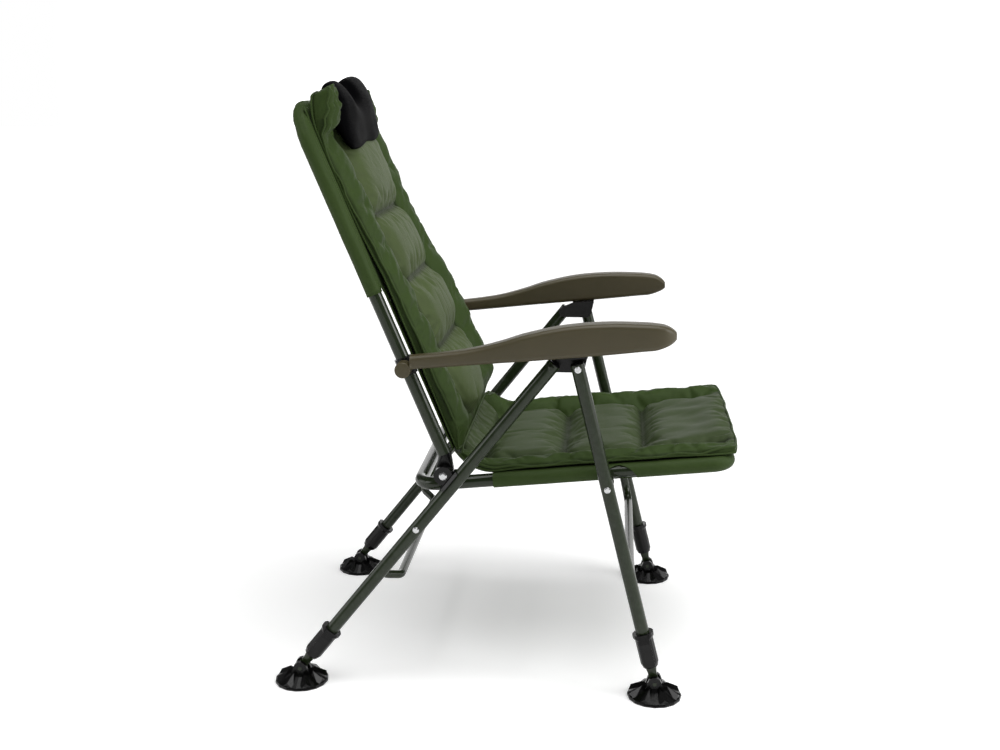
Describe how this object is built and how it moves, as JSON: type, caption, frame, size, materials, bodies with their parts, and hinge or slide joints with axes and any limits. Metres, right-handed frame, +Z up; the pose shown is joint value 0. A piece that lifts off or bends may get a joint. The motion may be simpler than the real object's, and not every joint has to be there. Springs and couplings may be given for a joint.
{
  "type": "fishing chair",
  "caption": "Folding carp fishing chair: tube frame with crossed legs, padded seat and reclining back, headrest pillow, armrests and adjustable swivel feet.",
  "frame": {"origin": "middle of the bounding box on the floor", "axes": "+X forwards, +Y to the sitter's left, +Z up"},
  "size_m": [0.866, 0.7028, 1.1197],
  "materials": {
    "green_paint": "glossy dark green powder coat",
    "black_plastic": "satin moulded black",
    "zinc": "bright zinc plate",
    "border_fabric": "coated woven dark green",
    "pad_fabric": "soft woven olive green over foam",
    "pillow_fabric": "soft black with a slight sheen",
    "arm_plastic": "moulded grey brown"
  },
  "bodies": {
    "seat": {"seat_frame_tube": "green_paint", "seat_sling": "border_fabric", "seat_cushion": "pad_fabric", "hinge_rivet_L": "zinc", "hinge_rivet_R": "zinc", "front_pivot_rivet_L": "zinc", "front_pivot_rivet_R": "zinc"},
    "hinge_washers": {"hinge_washer_L": "black_plastic", "hinge_washer_R": "black_plastic"},
    "backrest": {"back_frame_tube": "green_paint", "back_sleeve": "border_fabric", "back_cushion": "pad_fabric", "headrest_pillow": "pillow_fabric", "back_hinge_plug_L": "black_plastic", "back_hinge_plug_R": "black_plastic"},
    "clamps": {"clamp_sleeve_L": "black_plastic", "clamp_sleeve_R": "black_plastic"},
    "drums": {"clamp_drum_L": "black_plastic", "clamp_drum_R": "black_plastic"},
    "armrests": {"armrest_L": "arm_plastic", "armrest_R": "arm_plastic", "armrest_bracket_L": "black_plastic", "armrest_bracket_R": "black_plastic"},
    "front_legs": {"front_leg_tube_L": "green_paint", "front_leg_tube_R": "green_paint", "front_leg_cap_L": "black_plastic", "front_leg_cap_R": "black_plastic", "front_stretcher": "green_paint", "arm_pin_rivet_L": "zinc", "arm_pin_rivet_R": "zinc", "front_collar_L": "black_plastic", "front_collar_R": "black_plastic"},
    "rear_legs": {"rear_leg_tube_L": "green_paint", "rear_leg_tube_R": "green_paint", "rear_leg_cap_L": "black_plastic", "rear_leg_cap_R": "black_plastic", "rear_stretcher": "green_paint", "rear_hinge_bracket_L": "black_plastic", "rear_hinge_bracket_R": "black_plastic", "rear_top_rivet_L": "zinc", "rear_top_rivet_R": "zinc", "rear_bar_rivet_L": "zinc", "rear_bar_rivet_R": "zinc", "rear_collar_L": "black_plastic", "rear_collar_R": "black_plastic"},
    "rear_left_inner_leg": {"rear_inner_leg_L": "green_paint"},
    "rear_left_foot": {"rear_foot_L": "black_plastic"},
    "rear_left_lever": {"rear_lock_lever_L": "black_plastic"},
    "rear_right_inner_leg": {"rear_inner_leg_R": "green_paint"},
    "rear_right_foot": {"rear_foot_R": "black_plastic"},
    "rear_right_lever": {"rear_lock_lever_R": "black_plastic"},
    "front_left_inner_leg": {"front_inner_leg_L": "green_paint"},
    "front_left_foot": {"front_foot_L": "black_plastic"},
    "front_left_lever": {"front_lock_lever_L": "black_plastic"},
    "front_right_inner_leg": {"front_inner_leg_R": "green_paint"},
    "front_right_foot": {"front_foot_R": "black_plastic"},
    "front_right_lever": {"front_lock_lever_R": "black_plastic"}
  },
  "joints": [
    {"name": "fold", "type": "hinge", "parent": "seat", "child": "hinge_washers", "pos_m": [-0.1043, 0, 0.418], "axis": [0, 1, 0], "range_deg": [0, 84], "deforming": ["seat_cushion", "back_cushion"]},
    {"name": "recline", "type": "hinge", "parent": "hinge_washers", "child": "backrest", "pos_m": [-0.1043, 0, 0.418], "axis": [0, 1, 0], "range_deg": [-2.6, 0]},
    {"name": "clamp_slide", "type": "slide", "parent": "backrest", "child": "clamps", "axis": [-0.3859, 0, 0.9225], "range_m": [-0.0257, 0.0006]},
    {"name": "drum_turn", "type": "hinge", "parent": "clamps", "child": "drums", "pos_m": [-0.17433, 0, 0.61677], "axis": [0, 1, 0], "range_deg": [-2.3, 0.1]},
    {"name": "armrest_fold", "type": "hinge", "parent": "drums", "child": "armrests", "pos_m": [-0.17433, 0, 0.61677], "axis": [0, 1, 0], "range_deg": [-82, 0.5]},
    {"name": "front_legs_fold", "type": "hinge", "parent": "seat", "child": "front_legs", "pos_m": [0.19553, 0, 0.404], "axis": [0, 1, 0], "range_deg": [-0.5, 79]},
    {"name": "rear_legs_fold", "type": "hinge", "parent": "seat", "child": "rear_legs", "pos_m": [-0.1043, 0, 0.418], "axis": [0, 1, 0], "range_deg": [-0.5, 43]},
    {"name": "rear_left_inner_leg_slide", "type": "slide", "parent": "rear_legs", "child": "rear_left_inner_leg", "axis": [-0.6233, 0, -0.7819], "range_m": [0, 0.11]},
    {"name": "rear_left_foot_swivel", "type": "hinge", "parent": "rear_left_inner_leg", "child": "rear_left_foot", "pos_m": [-0.382, 0.2936, 0.03], "axis": [0, 1, 0], "range_deg": [-22, 22]},
    {"name": "rear_left_lever_flip", "type": "hinge", "parent": "rear_legs", "child": "rear_left_lever", "pos_m": [-0.32029, 0.3094, 0.10741], "axis": [0.7819, 0, -0.6233], "range_deg": [0, 60]},
    {"name": "rear_right_inner_leg_slide", "type": "slide", "parent": "rear_legs", "child": "rear_right_inner_leg", "axis": [-0.6233, 0, -0.7819], "range_m": [0, 0.11]},
    {"name": "rear_right_foot_swivel", "type": "hinge", "parent": "rear_right_inner_leg", "child": "rear_right_foot", "pos_m": [-0.382, -0.2936, 0.03], "axis": [0, 1, 0], "range_deg": [-22, 22]},
    {"name": "rear_right_lever_flip", "type": "hinge", "parent": "rear_legs", "child": "rear_right_lever", "pos_m": [-0.32029, -0.3094, 0.10741], "axis": [-0.7819, 0, 0.6233], "range_deg": [0, 60]},
    {"name": "front_left_inner_leg_slide", "type": "slide", "parent": "front_legs", "child": "front_left_inner_leg", "axis": [0.2449, 0, -0.9695], "range_m": [0, 0.11]},
    {"name": "front_left_foot_swivel", "type": "hinge", "parent": "front_left_inner_leg", "child": "front_left_foot", "pos_m": [0.29, 0.3004, 0.03], "axis": [0, 1, 0], "range_deg": [-22, 22]},
    {"name": "front_left_lever_flip", "type": "hinge", "parent": "front_legs", "child": "front_left_lever", "pos_m": [0.26575, 0.3162, 0.12599], "axis": [0.9695, 0, 0.2449], "range_deg": [0, 60]},
    {"name": "front_right_inner_leg_slide", "type": "slide", "parent": "front_legs", "child": "front_right_inner_leg", "axis": [0.2449, 0, -0.9695], "range_m": [0, 0.11]},
    {"name": "front_right_foot_swivel", "type": "hinge", "parent": "front_right_inner_leg", "child": "front_right_foot", "pos_m": [0.29, -0.3004, 0.03], "axis": [0, 1, 0], "range_deg": [-22, 22]},
    {"name": "front_right_lever_flip", "type": "hinge", "parent": "front_legs", "child": "front_right_lever", "pos_m": [0.26575, -0.3162, 0.12599], "axis": [-0.9695, 0, -0.2449], "range_deg": [0, 60]}
  ],
  "couplings": [
    {"joint": "clamp_slide", "follows": "recline", "m_per_rad": 0.5515},
    {"joint": "drum_turn", "follows": "recline", "ratio": 0.84},
    {"joint": "armrest_fold", "follows": "fold", "ratio": -0.967},
    {"joint": "front_legs_fold", "follows": "fold", "ratio": 0.93},
    {"joint": "rear_legs_fold", "follows": "fold", "ratio": 0.5}
  ]
}
